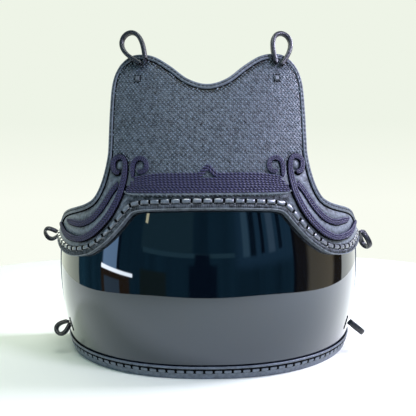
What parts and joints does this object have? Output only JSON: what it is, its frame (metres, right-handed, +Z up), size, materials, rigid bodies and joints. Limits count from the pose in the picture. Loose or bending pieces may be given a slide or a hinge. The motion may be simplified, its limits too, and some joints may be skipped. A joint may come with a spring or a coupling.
{
  "type": "kendo chest protector",
  "caption": "Curved lacquered torso guard with a padded leather chest panel laced over its top edge, leather cord loops and a laced rim; it stands open at the back.",
  "frame": {"origin": "centre of the whole part's footprint, on the surface the rim stands on", "axes": "+X to the right as seen from the front, +Y from the front of the bowl to its open back, +Z up"},
  "size_m": [0.465, 0.193, 0.4228],
  "materials": {
    "lacquer": "black lacquer over a moulded fibre shell, rubbed to a mirror gloss",
    "leather": "navy dyed deerskin with a soft satin grain",
    "thong": "dark waxed hide thong",
    "cloth": "indigo dyed cotton in a diagonal basket weave",
    "cord": "couched twisted cord in dark violet"
  },
  "bodies": {
    "root": {"bowl": "lacquer", "rim_binding": "leather", "rim_lacing": "thong", "chest_panel": "leather", "woven_face": "cloth", "edge_binding": "leather", "lower_border": "leather", "chest_lacing": "thong", "cord_row_1": "cord", "cord_row_2": "cord", "cord_row_3": "cord", "cord_row_4": "cord", "wing_band_outer_left": "cord", "wing_band_outer_right": "cord", "wing_band_inner_left": "cord", "wing_band_inner_right": "cord", "scroll_inner_left": "cord", "scroll_inner_right": "cord", "loop_anchor_left": "leather", "loop_anchor_right": "leather", "waist_thong_left": "thong", "waist_thong_right": "thong", "top_loop_left": "thong", "top_loop_right": "thong", "side_loop_left": "thong", "side_loop_right": "thong", "waist_loop_left": "thong", "waist_loop_right": "thong"}
  },
  "joints": []
}
